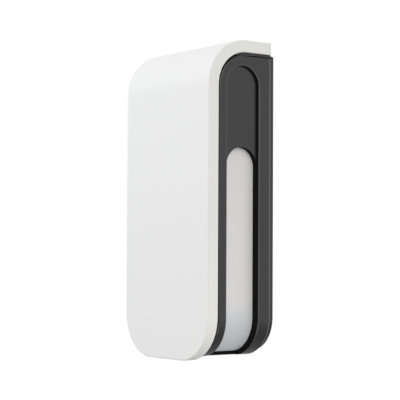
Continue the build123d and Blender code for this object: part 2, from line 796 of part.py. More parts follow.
def main_board():
    board = block(-BOARD_HALF, BOARD_HALF, BOARD_FRONT, BOARD_REAR, BOARD_BOTTOM, BOARD_TOP)
    for x, z in board_corners() + carrier_ears():
        board -= rod_y(SMALL_HOLE + CONTACT, BOARD_FRONT - PAST, BOARD_REAR + PAST, x, z)
    return board


def small_screws(places, seat):
    """Screws driven forwards, with their heads on the rear face at the depth called seat."""
    screws = []
    for x, z in places:
        head = rod_y(SMALL_HEAD, seat, seat + SMALL_HEAD_HEIGHT, x, z)
        shank = rod_y(SMALL_SHANK, SMALL_TIP, seat, x, z)
        recess = Pos(x, seat + SMALL_HEAD_HEIGHT, z) * Rot(-90, 0, 0) * cross_recess(SMALL_HEAD)
        screws.append(head + shank - recess)
    return Compound(children=screws)


def board_screws():
    return small_screws(board_corners(), BOARD_REAR)


def carrier_screws():
    return small_screws(carrier_ears(), BOARD_REAR + EAR_THICK)


def pole_places():
    return [(index - (POLES - 1) / 2) * POLE_PITCH for index in range(POLES)]


def terminal_block():
    """Terminal strip with a sloped front edge, a screw well and a wire hole for each pole."""
    half = POLES * POLE_PITCH / 2
    low, high = TERMINAL_Z - TERMINAL_HALF_Z, TERMINAL_Z + TERMINAL_HALF_Z
    section = make_face(
        Polyline(
            (BOARD_FRONT, low),
            (TERMINAL_FRONT, low),
            (TERMINAL_FRONT, high - TERMINAL_SLOPE),
            (TERMINAL_FRONT + TERMINAL_SLOPE, high),
            (BOARD_FRONT, high),
            (BOARD_FRONT, low),
        )
    )
    strip = along_x(section, -half, half)
    well_floor = TERMINAL_FRONT + TERMINAL_WELL_DEPTH
    for x in pole_places():
        strip -= rod_y(TERMINAL_WELL, TERMINAL_FRONT - PAST, well_floor, x, TERMINAL_SCREW_Z)
        strip -= rod_z(WIRE_RADIUS, high - WIRE_DEPTH, high + PAST, x, WIRE_Y)
    return strip


def terminal_screws():
    bottom = TERMINAL_FRONT + TERMINAL_WELL_DEPTH
    top = bottom - TERMINAL_HEAD_HEIGHT
    screws = []
    for x in pole_places():
        head = rod_y(TERMINAL_HEAD, top, bottom, x, TERMINAL_SCREW_Z)
        slot = block(
            x - PAST, x + PAST, top - PAST, top + DRIVE_DEPTH / 2,
            TERMINAL_SCREW_Z - DRIVE_WIDTH / 2, TERMINAL_SCREW_Z + DRIVE_WIDTH / 2,
        )
        screws.append(head - slot)
    return Compound(children=screws)


def dip_x(number):
    return (number - (DIP_COUNT + 1) / 2) * DIP_PITCH


def dip_switch_body():
    body = block(-DIP_HALF_X, DIP_HALF_X, DIP_FRONT, BOARD_FRONT, DIP_Z - DIP_HALF_Z, DIP_Z + DIP_HALF_Z)
    for number in range(1, DIP_COUNT + 1):
        x = dip_x(number)
        body -= block(
            x - DIP_SLOT_HALF_X, x + DIP_SLOT_HALF_X, DIP_FRONT - PAST, DIP_FRONT + DIP_SLOT_DEPTH,
            DIP_Z - DIP_SLOT_HALF_Z, DIP_Z + DIP_SLOT_HALF_Z,
        )
    return body


def dip_slider(number):
    """One slider, at the lower end of its slot or, for a few, at the upper end."""
    shift = DIP_TRAVEL / 2 if number in SLIDERS_UP else -DIP_TRAVEL / 2
    x, z = dip_x(number), DIP_Z + shift
    back = DIP_FRONT + DIP_SLOT_DEPTH - CONTACT
    return block(
        x - SLIDER_HALF_X, x + SLIDER_HALF_X, DIP_FRONT - SLIDER_PROUD, back,
        z - SLIDER_HALF_Z, z + SLIDER_HALF_Z,
    )


def range_switch(side):
    x = side * RANGE_X
    body = block(
        x - RANGE_HALF, x + RANGE_HALF, RANGE_FRONT, BOARD_FRONT, RANGE_Z - RANGE_HALF, RANGE_Z + RANGE_HALF
    )
    return body - rod_y(DIAL_WELL, RANGE_FRONT - PAST, RANGE_FRONT + DIAL_WELL_DEPTH, x, RANGE_Z)


def range_dial(side):
    """Round dial in the switch's well, with a slot that runs out to the rim at its pointer end."""
    x = side * RANGE_X
    front = RANGE_FRONT - DIAL_PROUD
    dial = rod_y(DIAL_RADIUS, front, RANGE_FRONT + DIAL_WELL_DEPTH - CONTACT, x, RANGE_Z)
    return dial - block(
        x - DIAL_SLOT / 2, x + DIAL_SLOT / 2, front - PAST, front + DIAL_SLOT_DEPTH,
        RANGE_Z - DIAL_RADIUS / 2, RANGE_Z + DIAL_RADIUS + PAST,
    )


def tamper_switch_body():
    body = block(
        -TAMPER_HALF, TAMPER_HALF, TAMPER_FRONT, BOARD_FRONT, TAMPER_Z - TAMPER_HALF, TAMPER_Z + TAMPER_HALF
    )
    return body - rod_y(PLUNGER_RADIUS + PLUNGER_FIT, TAMPER_FRONT - PAST, PLUNGER_WELL, 0, TAMPER_Z)


def tamper_plunger():
    return rod_y(PLUNGER_RADIUS, PLUNGER_TIP, PLUNGER_BACK, 0, TAMPER_Z)


def alarm_relays():
    relays = [
        block(
            x - RELAY_HALF_X, x + RELAY_HALF_X, BOARD_REAR, BOARD_REAR + RELAY_DEPTH,
            RELAY_Z - RELAY_HALF_Z, RELAY_Z + RELAY_HALF_Z,
        )
        for x in (-RELAY_X, RELAY_X)
    ]
    return Compound(children=relays)


def microcontroller():
    return block(
        CHIP_X - CHIP_HALF, CHIP_X + CHIP_HALF, BOARD_REAR, BOARD_REAR + CHIP_DEPTH,
        CHIP_Z - CHIP_HALF, CHIP_Z + CHIP_HALF,
    )


def capacitors():
    rear = BOARD_REAR + CAPACITOR_DEPTH
    cans = [rod_y(CAPACITOR_RADIUS, BOARD_REAR, rear, -CAPACITOR_X, z) for z in CAPACITOR_Z]
    return Compound(children=cans)


# The sensors

def sensor_carrier():
    """Upright partition between the two optical chambers, with a baffle at each end and two screw ears."""
    web = block(-CARRIER_HALF, CARRIER_HALF, BOARD_REAR, CARRIER_REAR, CARRIER_BOTTOM, CARRIER_TOP)
    for z in (CARRIER_BOTTOM, CARRIER_TOP - BAFFLE_WALL):
        web += block(-BAFFLE_HALF, BAFFLE_HALF, BAFFLE_FRONT, CARRIER_REAR, z, z + BAFFLE_WALL)
    ear_top = (CARRIER_TOP - BAFFLE_WALL, CARRIER_TOP + EAR_LENGTH)
    ear_bottom = (CARRIER_BOTTOM - EAR_LENGTH, CARRIER_BOTTOM + BAFFLE_WALL)
    for z0, z1 in (ear_top, ear_bottom):
        web += block(-EAR_HALF, EAR_HALF, BOARD_REAR, BOARD_REAR + EAR_THICK, z0, z1)
    for x, z in carrier_ears():
        web -= rod_y(SMALL_HOLE + CONTACT, BOARD_REAR - PAST, BOARD_REAR + PAST, x, z)
    return web


def sensor_board_right():
    return block(
        CARRIER_HALF, CARRIER_HALF + SENSOR_BOARD, SENSOR_FRONT, SENSOR_REAR, SENSOR_BOTTOM, SENSOR_TOP
    )


def pyro_right(z):
    """Infrared sensor can with a brim and a recess for its filter window."""
    x0 = CARRIER_HALF + SENSOR_BOARD
    x1 = x0 + PYRO_HEIGHT
    can = rod_x(PYRO_RADIUS, x0, x1, WINDOW_Y, z) + rod_x(PYRO_BRIM, x0, x0 + PYRO_BRIM_HEIGHT, WINDOW_Y, z)
    return can - filter_right(z)


def filter_right(z):
    x1 = CARRIER_HALF + SENSOR_BOARD + PYRO_HEIGHT
    return block(
        x1 - FILTER_THICK, x1, WINDOW_Y - FILTER_HALF_Y, WINDOW_Y + FILTER_HALF_Y,
        z - FILTER_HALF_Z, z + FILTER_HALF_Z,
    )


def both_sides(make, places):
    solids = []
    for place in places:
        solid = make(place)
        solids += [solid, other_side(solid)]
    return Compound(children=solids)


def header_right(z0):
    x0 = CARRIER_HALF + SENSOR_BOARD
    return block(x0, x0 + HEADER_WIDTH, BOARD_REAR, HEADER_REAR, z0, HEADER_TOP)


def led_right(z):
    """Small round indicator with a domed end."""
    x0 = CARRIER_HALF + SENSOR_BOARD
    x1 = x0 + LED_LENGTH
    return rod_x(LED_RADIUS, x0, x1, WINDOW_Y, z) + Pos(x1, WINDOW_Y, z) * Sphere(LED_RADIUS)


# All pieces by name

def pieces():
    lens = lens_right()
    retainer = lens_retainer_right()
    sensor_board = sensor_board_right()
    upper, lower = (pyro_right(z) for z in PYRO_Z)
    named = {
        "front_cover": front_cover(),
        "cover_lock_screw": cover_lock_screw(),
        "lock_screw_ring": lock_screw_ring(),
        "lock_nut": lock_nut(),
        "main_housing": main_housing(),
        "lens_right": lens,
        "lens_left": other_side(lens),
        "lens_retainer_right": retainer,
        "lens_retainer_left": other_side(retainer),
        "rear_base": rear_base(),
        "housing_seal": housing_seal(),
        "cable_grommet": cable_grommet(),
        "unit_screws": unit_screws(),
        "main_board": main_board(),
        "board_screws": board_screws(),
        "terminal_block": terminal_block(),
        "terminal_screws": terminal_screws(),
        "dip_switch_body": dip_switch_body(),
        "range_switch_left": range_switch(-1),
        "range_switch_right": range_switch(1),
        "range_dial_left": range_dial(-1),
        "range_dial_right": range_dial(1),
        "tamper_switch_body": tamper_switch_body(),
        "tamper_plunger": tamper_plunger(),
        "alarm_relays": alarm_relays(),
        "microcontroller": microcontroller(),
        "capacitors": capacitors(),
        "sensor_carrier": sensor_carrier(),
        "carrier_screws": carrier_screws(),
        "sensor_board_right": sensor_board,
        "sensor_board_left": other_side(sensor_board),
        "pyro_right_upper": upper,
        "pyro_left_upper": other_side(upper),
        "pyro_right_lower": lower,
        "pyro_left_lower": other_side(lower),
        "pyro_windows": both_sides(filter_right, PYRO_Z),
        "sensor_headers": both_sides(header_right, (HEADER_BOTTOM,)),
        "indicator_leds": both_sides(led_right, (LED_Z,)),
    }
    for number in range(1, DIP_COUNT + 1):
        named[f"dip_slider_{number}"] = dip_slider(number)
    return named


os.makedirs("parts", exist_ok=True)
for name, solid in pieces().items():
    export_step(solid, f"parts/{name}.step")
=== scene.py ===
# %% [markdown]
# # Dressing an outdoor motion detector
# The detector hangs on a wall and watches along it to both sides. Its shapes come from the CAD frame:
# a white cover, a black housing, two milky lens sheets and the works behind the cover. This lesson loads
# that frame, sets up the camera and the light, paints each material with nodes, and adds the small marks
# that are printed or cut on the real parts.

# %% Load the frame
import json
import math

import bmesh
import bpy
from mathutils import Matrix, Vector


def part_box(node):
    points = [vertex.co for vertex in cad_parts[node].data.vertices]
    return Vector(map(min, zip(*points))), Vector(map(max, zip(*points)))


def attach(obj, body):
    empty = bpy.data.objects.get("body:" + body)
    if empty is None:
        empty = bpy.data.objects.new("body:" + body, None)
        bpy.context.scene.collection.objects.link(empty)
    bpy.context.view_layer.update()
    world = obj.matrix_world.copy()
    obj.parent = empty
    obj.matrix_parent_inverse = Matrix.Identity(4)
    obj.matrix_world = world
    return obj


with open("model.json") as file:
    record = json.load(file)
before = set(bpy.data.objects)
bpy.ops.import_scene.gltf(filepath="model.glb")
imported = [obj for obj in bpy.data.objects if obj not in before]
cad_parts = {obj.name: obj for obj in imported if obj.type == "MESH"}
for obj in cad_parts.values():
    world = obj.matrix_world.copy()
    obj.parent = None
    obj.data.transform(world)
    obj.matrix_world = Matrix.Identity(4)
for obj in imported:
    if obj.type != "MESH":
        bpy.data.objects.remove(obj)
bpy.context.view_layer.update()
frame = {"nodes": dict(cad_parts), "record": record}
MM = 0.001

# %% [markdown]
# ## Camera
# The photograph looks at the detector's right side from slightly below its middle. The heading, pitch and
# distance were fitted on the object's straight edges and arcs, together with its proportions. A long lens
# at under a metre gives the same slight narrowing towards the rear edge.

# %% Camera
CAMERA_PLACE = (0.69867, -0.53394, -0.03434)
CAMERA_HEADING = 54.0
CAMERA_PITCH = 2.37
CAMERA_ROLL = 0.29
CAMERA_LENS = 119.97
SENSOR_WIDTH = 36.0


def make_camera():
    lens = bpy.data.cameras.new("photo_camera")
    lens.lens = CAMERA_LENS
    lens.sensor_width = SENSOR_WIDTH
    camera = bpy.data.objects.new("photo_camera", lens)
    camera.location = CAMERA_PLACE
    tilt = (90 + CAMERA_PITCH, -CAMERA_ROLL, CAMERA_HEADING)
    camera.rotation_euler = [math.radians(angle) for angle in tilt]
    bpy.context.scene.collection.objects.link(camera)
    bpy.context.scene.camera = camera
    return camera


camera = make_camera()
bpy.context.scene.view_settings.view_transform = "Standard"
print("camera at", [round(v, 3) for v in camera.location], "with a lens of", CAMERA_LENS, "mm")

# %% [markdown]
# ## Writing shaders as sums
# Nodes can be placed one by one, but then a simple sum takes four lines. A small class that wraps a socket
# lets the sum be written as a sum: each operator adds one Math node and returns its output. Everything
# else goes through one method that takes the node's type, its settings and its socket values.

# %% Sockets that do sums
class Wire:
    """One output socket. Arithmetic on it adds Math nodes to its tree."""

    def __init__(self, tree, socket):
        self.tree = tree
        self.socket = socket

    def math(self, operation, *values):
        node = self.tree.nodes.new("ShaderNodeMath")
        node.operation = operation
        for socket, value in zip(node.inputs, values):
            plug(self.tree, socket, value)
        return Wire(self.tree, node.outputs[0])

    def __add__(self, other):
        return self.math("ADD", self, other)

    def __sub__(self, other):
        return self.math("SUBTRACT", self, other)

    def __rsub__(self, other):
        return self.math("SUBTRACT", other, self)

    def __mul__(self, other):
        return self.math("MULTIPLY", self, other)

    def __truediv__(self, other):
        return self.math("DIVIDE", self, other)

    def __pow__(self, other):
        return self.math("POWER", self, other)

    def __lt__(self, other):
        return self.math("LESS_THAN", self, other)

    def __abs__(self):
        return self.math("ABSOLUTE", self)

    __radd__ = __add__
    __rmul__ = __mul__

    def sign(self):
        return self.math("SIGN", self)

    def fraction(self):
        return self.math("FRACT", self)

    def larger(self, other):
        return self.math("MAXIMUM", self, other)


def plug(tree, socket, value):
    """Link a wire to a socket, or set the socket's own value."""
    if isinstance(value, Wire):
        tree.links.new(value.socket, socket)
    else:
        socket.default_value = value


class Nodes:
    """A node tree, the method that adds a node to it, and two small groups that are used often."""

    def __init__(self, tree):
        self.tree = tree

    def add(self, kind, settings=None, values=None, output=0):
        node = self.tree.nodes.new("ShaderNode" + kind)
        for key, setting in (settings or {}).items():
            setattr(node, key, setting)
        for key, value in (values or {}).items():
            plug(self.tree, node.inputs[key], value)
        return Wire(self.tree, node.outputs[output]) if node.outputs else None

    def parts(self, vector):
        return [self.add("SeparateXYZ", values={0: vector}, output=axis) for axis in "XYZ"]

    def smooth_rise(self, value, low, high):
        """0 up to the low value, 1 from the high one, and a soft rise between them."""
        return self.add("MapRange", {"interpolation_type": "SMOOTHSTEP"}, {0: value, 1: low, 2: high})


print("wires and nodes are ready")

# %% [markdown]
# ## Studio
# The photograph is a cut-out on white, lit softly from the left and from the right. The edge between the
# front and the side faces neither light, so it reads as a thin darker line. Two large softboxes give that,
# with a dim dome that is darker on the side that this edge faces, as a room is behind a camera. A weak
# softbox behind lights the rear edge, and a small low one lifts the lower corner, as a table in front would.
# The white itself is only what the camera and the reflections see of the dome, so no extra light falls on
# the detector. The floor lies below the detector, because the real one hangs on a wall, and it fades into
# the white at its rim. Its lower side is clear, so a view from underneath still shows the detector.

# %% Dome
DOME_ABOVE = 0.7
DOME_BELOW = 1.0
DARK_SIDE = (0.8, -0.6, 0)
DARK_RIM = 0.5
DARK_MIDDLE = 0.95
DARK_SHARE = 0.7
BACKDROP_LEVEL = 1.0
WHITE = (1.0, 1.0, 1.0, 1.0)


def seen_directly(nodes):
    """1 for rays that show the background: from the camera, a reflection or through glass."""
    camera_ray = nodes.add("LightPath", output="Is Camera Ray")
    glossy_ray = nodes.add("LightPath", output="Is Glossy Ray")
    clear_ray = nodes.add("LightPath", output="Is Transmission Ray")
    return camera_ray.larger(glossy_ray).larger(clear_ray)


def make_dome():
    world = bpy.data.worlds.new("studio_dome")
    world.use_nodes = True
    world.node_tree.nodes.clear()
    nodes = Nodes(world.node_tree)
    direction = nodes.add("TexCoord", output="Generated")
    _, _, height = nodes.parts(direction)
    rise = (height + 1) / 2
    towards = nodes.add(
        "VectorMath", {"operation": "DOT_PRODUCT"}, {0: direction, 1: DARK_SIDE}, output="Value"
    )
    dark = nodes.smooth_rise(towards, DARK_RIM, DARK_MIDDLE)
    level = (DOME_BELOW + (DOME_ABOVE - DOME_BELOW) * rise) * (1 - DARK_SHARE * dark)
    lamp = nodes.add("Background", values={"Color": WHITE, "Strength": level})
    backdrop = nodes.add("Background", values={"Color": WHITE, "Strength": BACKDROP_LEVEL})
    chosen = nodes.add("MixShader", values={0: seen_directly(nodes), 1: lamp, 2: backdrop})
    nodes.add("OutputWorld", values={"Surface": chosen})
    bpy.context.scene.world = world


make_dome()
print("dome level from", DOME_BELOW, "below to", DOME_ABOVE, "above")

# %% Softboxes
COOL = (0.97, 0.985, 1.0)
CREAM = (1.0, 0.985, 0.86)
SOFTBOXES = {
    "left_softbox": {"place": (-0.9, -1.25, 0.6), "size": 1.2, "power": 11.0, "colour": COOL},
    "right_softbox": {"place": (1.4, -0.35, 0.5), "size": 1.0, "power": 6.8, "colour": CREAM},
    "rim_softbox": {"place": (0.3, 1.4, 0.3), "size": 1.0, "power": 0.7, "colour": COOL},
    "low_softbox": {"place": (0.25, -0.1, -0.235), "size": 0.08, "power": 0.15, "colour": CREAM},
}


def make_softbox(name, place, size, power, colour):
    panel = bpy.data.lights.new(name, "AREA")
    panel.size = size
    panel.energy = power
    panel.color = colour
    softbox = bpy.data.objects.new(name, panel)
    softbox.location = place
    softbox.rotation_euler = (-Vector(place)).to_track_quat("-Z", "Y").to_euler()
    softbox.visible_camera = False
    bpy.context.scene.collection.objects.link(softbox)


for softbox_name, softbox in SOFTBOXES.items():
    make_softbox(softbox_name, **softbox)
print("softboxes:", list(SOFTBOXES))

# %% Floor
FLOOR_LEVEL = -0.26
FLOOR_RADIUS = 0.9
FLOOR_PLAIN = 0.18
FLOOR_SIDES = 96
LEVEL_ONLY = (1, 1, 0)
FLOOR_PALE = (0.46, 0.46, 0.465, 1.0)


def floor_paper():
    paper = bpy.data.materials.new("floor_paper")
    paper.use_nodes = True
    paper.node_tree.nodes.clear()
    nodes = Nodes(paper.node_tree)
    place = nodes.add("TexCoord", output="Object")
    level_place = nodes.add("VectorMath", {"operation": "MULTIPLY"}, {0: place, 1: LEVEL_ONLY})
    radius = nodes.add("VectorMath", {"operation": "LENGTH"}, {0: level_place}, output="Value")
    fade = nodes.smooth_rise(radius, FLOOR_PLAIN, FLOOR_RADIUS)
    seen = seen_directly(nodes)
    matt = nodes.add("BsdfDiffuse", values={"Color": FLOOR_PALE})
    white = nodes.add("Emission", values={"Color": WHITE})
    upper_side = nodes.add("MixShader", values={0: fade * seen, 1: matt, 2: white})
    from_below = nodes.add("NewGeometry", output="Backfacing")
    nothing = nodes.add("BsdfTransparent", values={"Color": WHITE})
    surface = nodes.add("MixShader", values={0: from_below, 1: upper_side, 2: nothing})
    nodes.add("OutputMaterial", values={"Surface": surface})
    return paper


def make_floor():
    shape = bmesh.new()
    bmesh.ops.create_circle(shape, cap_ends=True, segments=FLOOR_SIDES, radius=FLOOR_RADIUS)
    bmesh.ops.translate(shape, verts=shape.verts, vec=(0, 0, FLOOR_LEVEL))
    mesh = bpy.data.meshes.new("floor")
    shape.to_mesh(mesh)
    shape.free()
    mesh.materials.append(floor_paper())
    floor = bpy.data.objects.new("floor", mesh)
    bpy.context.scene.collection.objects.link(floor)


make_floor()
print("floor radius", FLOOR_RADIUS, "m at z =", FLOOR_LEVEL, "m")

# %% [markdown]
# ## Moulded plastic
# Most of the detector is injection moulded. Such a surface is never one flat colour: the tool is spark
# eroded, which leaves a fine grain, and the melt leaves slow drifts of tone and gloss. Two noises do it, one
# a few centimetres wide and one finer than half a millimetre. The fine one also feeds a bump, so the
# highlight breaks up as it does on a real cover. One function makes all the plastics and the rubber.

# %% Moulded plastic
DRIFT_SIZE = 45 * MM
GRAIN_SIZE = 0.4 * MM
GRAIN_DEPTH = 0.012 * MM
GRAIN_DETAIL = 3.0
GRAIN_SHARE = 0.25
TONE_DRIFT = 0.03
GLOSS_DRIFT = 0.08


class Finish(Nodes):
    """A material round one Principled shader, with constants set on the shader's own sockets."""

    def __init__(self, name, **constants):
        self.material = bpy.data.materials.new(name)
        self.material.use_nodes = True
        super().__init__(self.material.node_tree)
        self.shader = self.tree.nodes["Principled BSDF"]
        self.feed(**constants)

    def feed(self, **inputs):
        for key, value in inputs.items():
            plug(self.tree, self.shader.inputs[key.replace("_", " ")], value)

    def place(self):
        return self.add("TexCoord", output="Object")

    def noise(self, size, detail=2.0, where=None):
        where = where or self.place()
        return self.add("TexNoise", values={"Vector": where, "Scale": 1 / size, "Detail": detail})

    def mix(self, share, first, second, how="MIX"):
        """One colour into another. A colour Mix has its colours on sockets 6 and 7 and its result on 2."""
        settings = {"data_type": "RGBA", "blend_type": how}
        return self.add("Mix", settings, {0: share, 6: first, 7: second}, output=2)

    def bump(self, height, depth, strength=1.0):
        return self.add("Bump", values={"Height": height, "Distance": depth, "Strength": strength})

    def cover_with(self, share, other):
        """Show another shader over this one, where the share is 1."""
        own = Wire(self.tree, self.shader.outputs[0])
        both = self.add("MixShader", values={0: share, 1: own, 2: other})
        plug(self.tree, self.tree.nodes["Material Output"].inputs["Surface"], both)


def shade(red, green, blue):
    return (red, green, blue, 1.0)


def scaled(colour, factor):
    return shade(*(channel * factor for channel in colour[:3]))


def moulded(name, colour, roughness, depth=GRAIN_DEPTH, drift=TONE_DRIFT, **constants):
    """A surface whose tone, gloss and height vary a little. Its tone is kept for a later layer."""
    finish = Finish(name, **constants)
    wide = finish.noise(DRIFT_SIZE)
    fine = finish.noise(GRAIN_SIZE, detail=GRAIN_DETAIL)
    darker, lighter = scaled(colour, 1 - drift), scaled(colour, 1 + drift)
    slow_tone = finish.mix(wide, darker, lighter)
    fine_tone = finish.mix(fine, darker, lighter)
    finish.tone = finish.mix(GRAIN_SHARE, slow_tone, fine_tone)
    finish.feed(
        Base_Color=finish.tone,
        Roughness=roughness + GLOSS_DRIFT * (wide + fine - 1),
        Normal=finish.bump(fine, depth),
    )
    return finish


RUBBER_DEPTH = 0.03 * MM
WHITE_SHELL = shade(0.83, 0.832, 0.832)
SATIN_BLACK = shade(0.008, 0.008, 0.0105)
SOFT_BLACK = shade(0.022, 0.022, 0.022)
moulded_finishes = {
    "white_plastic": moulded("satin_white_shell", WHITE_SHELL, roughness=0.46, drift=0.012),
    "black_plastic": moulded("satin_black_moulding", SATIN_BLACK, roughness=0.32, drift=0.1, IOR=1.58),
    "relay_plastic": moulded("ivory_relay_case", shade(0.82, 0.81, 0.74), roughness=0.3),
    "terminal_plastic": moulded("green_terminal", shade(0.03, 0.2, 0.075), roughness=0.45, drift=0.06),
    "dip_plastic": moulded("blue_switch_case", shade(0.02, 0.06, 0.34), roughness=0.35, drift=0.06),
    "switch_plastic": moulded("black_switch_case", shade(0.03, 0.03, 0.033), roughness=0.42, drift=0.08),
    "dial_plastic": moulded("ivory_dial", shade(0.8, 0.77, 0.66), roughness=0.42),
    "slider_plastic": moulded("white_slider", shade(0.84, 0.84, 0.82), roughness=0.38),
    "seal_rubber": moulded("soft_black_rubber", SOFT_BLACK, roughness=0.72, depth=RUBBER_DEPTH, drift=0.12),
}
finishes = {slot: finish.material for slot, finish in moulded_finishes.items()}
print("moulded finishes:", len(finishes))

# %% [markdown]
# ## Lens pockets
# The outer faces of the black moulding have a satin gloss. The walls of the two lens pockets are rough and
# matt, and they are painted darker with little reflection: painted shade for the deep shade in the pockets.
# The walls are found by the way they face: the housing's outline is a box with round lower corners, so each
# point has an outward direction, and a pocket face that doesn't look that way is a wall. Round the mouth of
# a pocket the moulding is painted a little paler, a painted highlight along the rounded edge. The mouth is
# an arch, so the distance from the arch's middle line, and from its centre above, finds it.

# %% Lens pockets
CORNER_X = 20.1 * MM
CORNER_Z = -73.2 * MM
POCKET_MIDDLE = -25.85 * MM
POCKET_REACH = 12.6 * MM
FACING_OUT = 0.5
ARCH_CENTRE = 71.5 * MM
MOUTH_REACH = 12.85 * MM
MOUTH_HALF = 0.55 * MM
# Painted highlight: the paler black along the rounded mouth of each lens pocket.
MOUTH_HIGHLIGHT_BLACK = shade(0.05, 0.05, 0.052)
# Painted shade: the pocket walls' colours, darker than the satin black, and their low reflection below.
SHADED_WALL_DARK = shade(0.005, 0.005, 0.0055)
SHADED_WALL_PALE = shade(0.008, 0.008, 0.0085)
MATT_GRAIN = 0.3 * MM
MATT_ROUGHNESS = 0.9
MATT_GLOSS = 0.1


def pocket_wall(finish):
    """1 on the walls of the lens pockets, 0 on every face that looks outwards."""
    x, y, z = finish.parts(finish.place())
    normal_x, _, normal_z = finish.parts(finish.add("TexCoord", output="Normal"))
    beside = (abs(x) - CORNER_X).larger(0)
    below = (CORNER_Z - z).larger(0)
    facing = beside * x.sign() * normal_x - below * normal_z
    turned_away = facing < (beside * beside + below * below) ** 0.5 * FACING_OUT
    return turned_away * (abs(y - POCKET_MIDDLE) < POCKET_REACH)


# Painted highlight: this band marks where the paler black goes.
def pocket_mouth(finish):
    """1 along the rounded edge of a lens pocket, falling to 0 on both sides of it."""
    _, y, z = finish.parts(finish.place())
    across = y - POCKET_MIDDLE
    above = (z - ARCH_CENTRE).larger(0)
    reach = (across * across + above * above) ** 0.5
    return (1 - abs(reach - MOUTH_REACH) / MOUTH_HALF).larger(0)


# Painted shade: a darker colour with little reflection for the pocket walls, on a rough, matt finish.
def matt_black(finish):
    tone = finish.mix(finish.noise(MATT_GRAIN), SHADED_WALL_DARK, SHADED_WALL_PALE)
    return finish.add(
        "BsdfPrincipled",
        values={"Base Color": tone, "Roughness": MATT_ROUGHNESS, "Specular IOR Level": MATT_GLOSS},
    )


black = moulded_finishes["black_plastic"]
# Painted highlight: a paler band round each pocket's mouth stands for light caught on its rounded edge.
black.feed(Base_Color=black.mix(pocket_mouth(black), black.tone, MOUTH_HIGHLIGHT_BLACK))
# Painted shade: the pocket walls take the darker, less reflective black.
black.cover_with(pocket_wall(black), matt_black(black))
print("pocket walls reach", POCKET_REACH / MM, "mm each way from y =", POCKET_MIDDLE / MM, "mm")

# %% [markdown]
# ## Lens sheet
# The lens is a thin sheet of milky polythene that lets body heat through. Its inside is cut with rings,
# like a lighthouse lens, in bands one above the other, and they show through faintly. Each band has its own
# ring centre, so the distance from that centre, divided by the ring pitch, gives the grooves. The bands'
# edges read as slightly darker lines. Towards the foot, where the sheet bends under and faces down, its
# colour is painted greyer and bluer: painted shade with a bluish cast.

# %% Lens sheet
LENS_TONE = shade(0.77, 0.768, 0.795)
# Painted shade: the greyer, bluer colour of the lens's foot, between the two heights below.
LENS_FOOT_SHADE = shade(0.61, 0.635, 0.70)
FOOT_SHADE_LOW = -82 * MM
FOOT_SHADE_HIGH = -58 * MM
LENS_MIDDLE_Y = -25.4 * MM
BAND_HEIGHT = 16 * MM
BAND_EDGE = 0.03
BAND_SHOW = 0.2
BAND_DARK = shade(0.72, 0.72, 0.72)
CLOUD_SIZE = 12 * MM
CLOUD_DRIFT = 0.025
RING_PITCH = 0.5 * MM
RING_DEPTH = 0.008 * MM
RING_STRENGTH = 0.5
LENS_ROUGHNESS = 0.4


def lens_sheet():
    finish = Finish("milky_lens_sheet", Roughness=LENS_ROUGHNESS)
    _, depth, height = finish.parts(finish.place())
    from_middle = (height / BAND_HEIGHT).fraction() - 0.5
    up = from_middle * BAND_HEIGHT
    across = depth - LENS_MIDDLE_Y
    distance = (up * up + across * across) ** 0.5
    rings = (distance / RING_PITCH).fraction()
    edge = (abs(from_middle) - (0.5 - BAND_EDGE)).larger(0) / BAND_EDGE
    # Painted shade: the sheet is drawn greyer and bluer towards its foot, where it bends under and faces
    # down.
    tone = finish.mix(finish.smooth_rise(height, FOOT_SHADE_LOW, FOOT_SHADE_HIGH), LENS_FOOT_SHADE, LENS_TONE)
    thin, thick = scaled(WHITE, 1 - CLOUD_DRIFT), scaled(WHITE, 1 + CLOUD_DRIFT)
    cloud = finish.mix(finish.noise(CLOUD_SIZE), thin, thick)
    milk = finish.mix(1.0, tone, cloud, "MULTIPLY")
    finish.feed(
        Base_Color=finish.mix(edge * BAND_SHOW, milk, BAND_DARK),
        Normal=finish.bump(rings, RING_DEPTH, RING_STRENGTH),
    )
    return finish.material


finishes["lens_film"] = lens_sheet()
print("lens bands of", BAND_HEIGHT / MM, "mm with rings every", RING_PITCH / MM, "mm")

# %% [markdown]
# ## Metals
# The screws are zinc plated, the sensor cans nickel plated, the nut is turned brass and the capacitors are
# drawn aluminium. All of them are full metals whose gloss changes over small patches, with fine scratches.
# A noise that is squeezed along one axis draws the scratches.

# %% Metals
PATCH_SIZE = 1.5 * MM
SCRATCH_SQUEEZE = (1.0, 1.0, 12.0)
SCRATCH_SIZE = 0.35 * MM
SCRATCH_DEPTH = 0.006 * MM
DULL_SHARE = 0.9
BRIGHT_SHARE = 1.08
PATCH_GLOSS = 0.14
SCRATCH_GLOSS = 0.1


def plated(name, colour, roughness):
    finish = Finish(name, Metallic=1.0)
    squeezed = finish.add("Mapping", values={"Vector": finish.place(), "Scale": SCRATCH_SQUEEZE})
    patch = finish.noise(PATCH_SIZE)
    scratch = finish.noise(SCRATCH_SIZE, where=squeezed)
    finish.feed(
        Base_Color=finish.mix(patch, scaled(colour, DULL_SHARE), scaled(colour, BRIGHT_SHARE)),
        Roughness=roughness + PATCH_GLOSS * (patch - 0.5) + SCRATCH_GLOSS * (scratch - 0.5),
        Normal=finish.bump(scratch, SCRATCH_DEPTH),
    )
    return finish.material


metal_finishes = {
    "zinc_steel": plated("zinc_plated_steel", shade(0.62, 0.63, 0.64), roughness=0.34),
    "sensor_can": plated("nickel_can", shade(0.66, 0.63, 0.56), roughness=0.28),
    "can_aluminium": plated("drawn_aluminium", shade(0.78, 0.78, 0.79), roughness=0.3),
    "nut_brass": plated("turned_brass", shade(0.78, 0.58, 0.24), roughness=0.3),
}
finishes.update(metal_finishes)
print("metal finishes:", [metal.name for metal in metal_finishes.values()])

